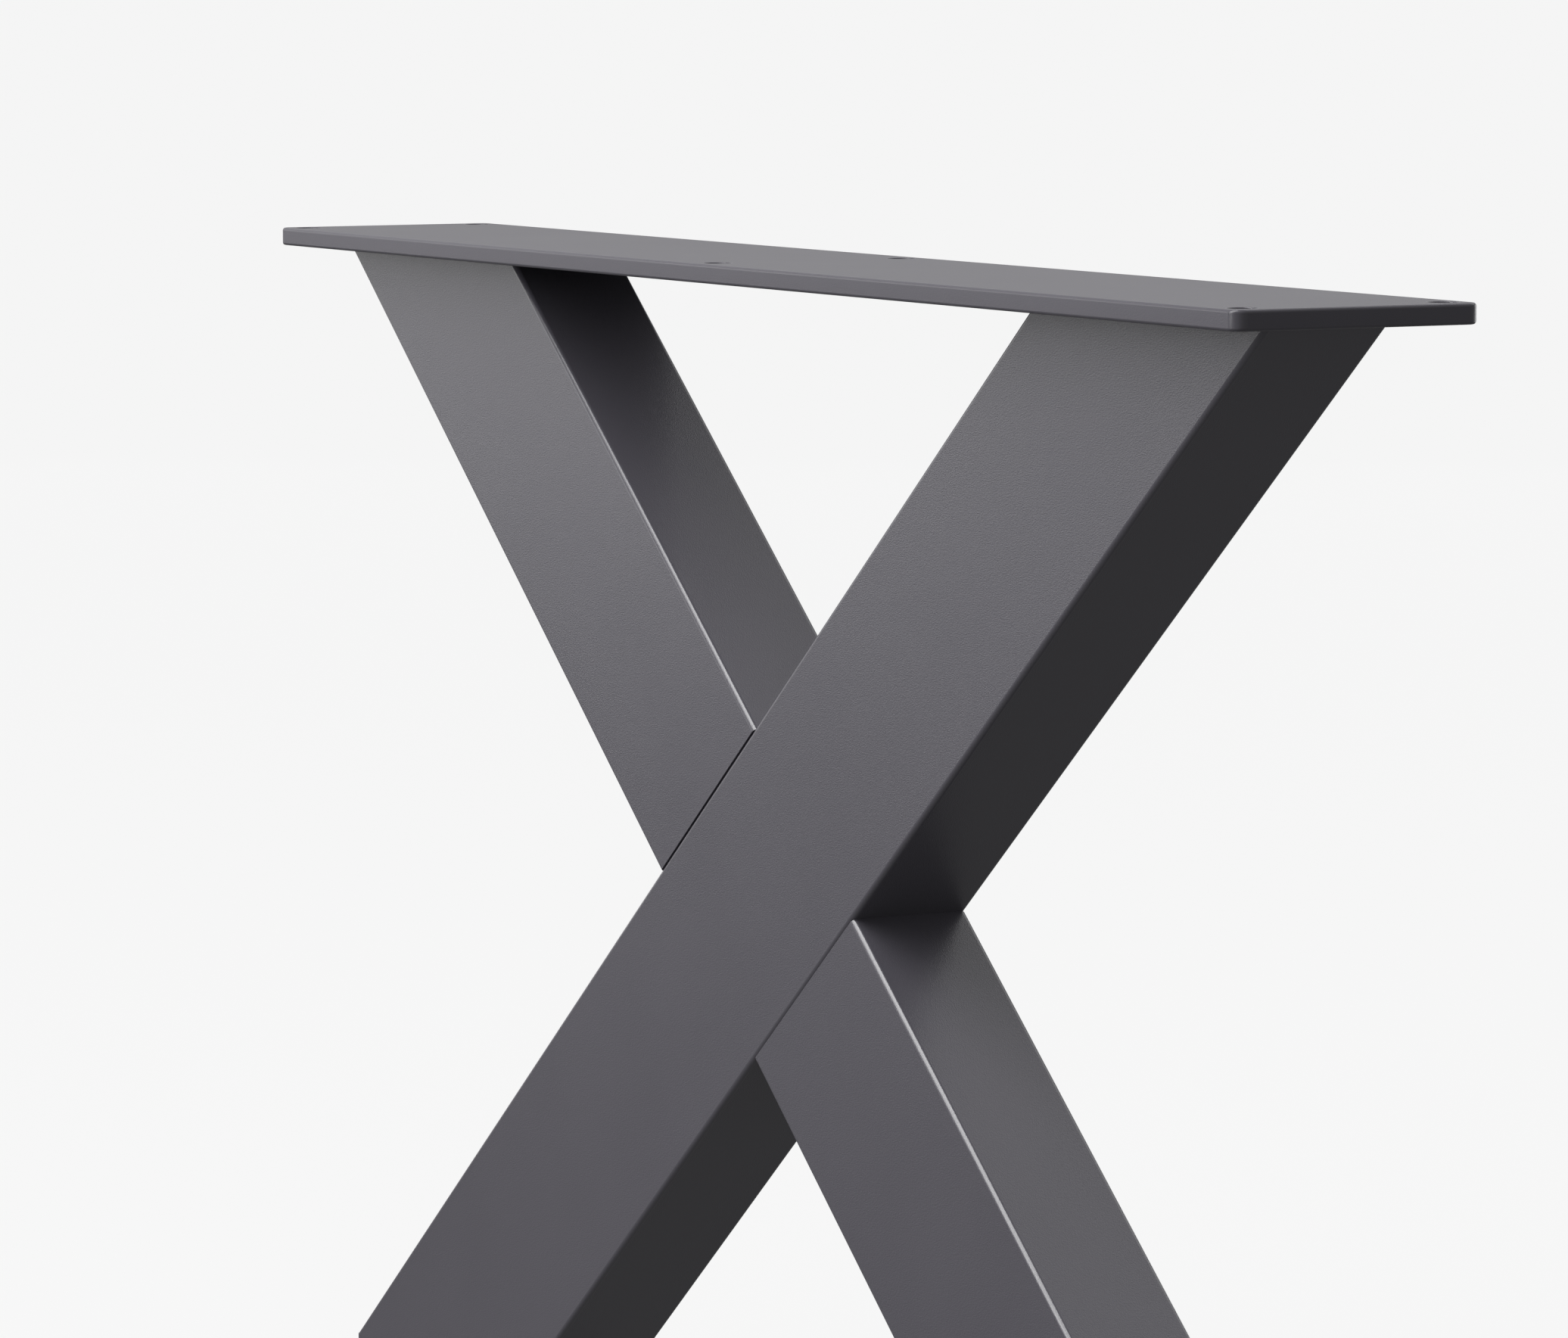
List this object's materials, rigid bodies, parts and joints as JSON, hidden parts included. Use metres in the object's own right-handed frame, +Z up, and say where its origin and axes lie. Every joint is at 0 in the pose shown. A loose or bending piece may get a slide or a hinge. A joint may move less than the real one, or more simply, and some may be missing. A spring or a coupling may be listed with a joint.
{
  "type": "x-shaped table leg",
  "caption": "X-shaped coffee table leg of rectangular steel tube, with a drilled top plate that screws to the underside of a table top, closed feet and moulded glides.",
  "frame": {"origin": "on the floor, in the middle of the leg's length and depth", "axes": "+X along the top plate, +Y from front to back, +Z up to the table top"},
  "size_m": [0.616, 0.08, 0.4],
  "materials": {
    "powder_coat": "satin graphite grey powder coat with a fine leathery grain",
    "glide_plastic": "matt black moulded plastic"
  },
  "bodies": {
    "root": {"top_plate": "powder_coat", "through_tube": "powder_coat", "upper_half_tube": "powder_coat", "lower_half_tube": "powder_coat", "left_foot_plate": "powder_coat", "right_foot_plate": "powder_coat", "left_glide": "glide_plastic", "right_glide": "glide_plastic"}
  },
  "joints": []
}
